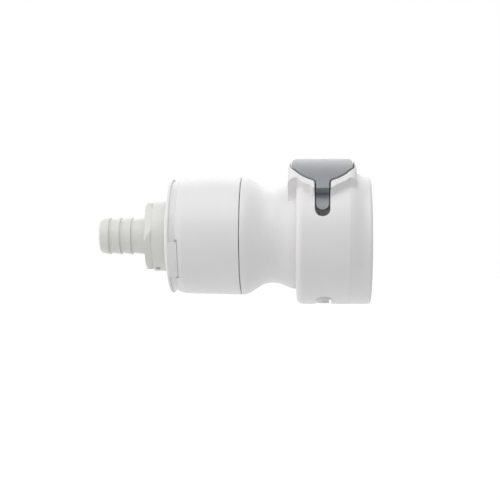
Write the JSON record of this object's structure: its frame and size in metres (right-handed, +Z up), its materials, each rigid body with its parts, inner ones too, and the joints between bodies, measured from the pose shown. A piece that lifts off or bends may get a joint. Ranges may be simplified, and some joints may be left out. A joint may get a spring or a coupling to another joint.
{
  "type": "plastic quick disconnect coupling",
  "caption": "Socket half of a plastic quick disconnect coupling with a hose barb, an internal shut-off valve and a spring-loaded thumb latch button.",
  "frame": {"origin": "centre of the socket's mouth", "axes": "+X along the flow axis out of the socket's mouth, +Z up to the latch button"},
  "size_m": [0.0808, 0.0406, 0.0433],
  "materials": {
    "white_plastic": "satin moulded",
    "ivory_plastic": "satin moulded",
    "grey_plastic": "fine matt moulded",
    "natural_plastic": "plain moulded",
    "stainless_steel": "stamped, fine brushed",
    "spring_steel": "drawn wire",
    "black_rubber": "matt"
  },
  "bodies": {
    "housing": {"coupling_body": "white_plastic", "rear_housing": "white_plastic", "bayonet_cap": "white_plastic", "hose_barb_fitting": "ivory_plastic", "spring_retainer": "natural_plastic", "latch_spring_front": "spring_steel", "latch_spring_back": "spring_steel", "valve_spring": "spring_steel", "valve_guide": "natural_plastic", "housing_seal": "black_rubber", "fitting_seal": "black_rubber", "thrust_washer": "natural_plastic"},
    "latch": {"release_button": "grey_plastic", "latch_plate": "stainless_steel"},
    "valve": {"valve_poppet": "natural_plastic", "poppet_seal": "black_rubber"}
  },
  "joints": [
    {"name": "release_press", "type": "slide", "parent": "housing", "child": "latch", "axis": [0, 0, -1], "range_m": [0, 0.0016], "stiffness_N_per_m": 2500, "springref_m": -0.002, "deforming": ["latch_spring_front", "latch_spring_back"]},
    {"name": "valve_open", "type": "slide", "parent": "housing", "child": "valve", "axis": [-1, 0, 0], "range_m": [0, 0.004], "stiffness_N_per_m": 1200, "springref_m": -0.002, "deforming": ["valve_spring"]}
  ]
}
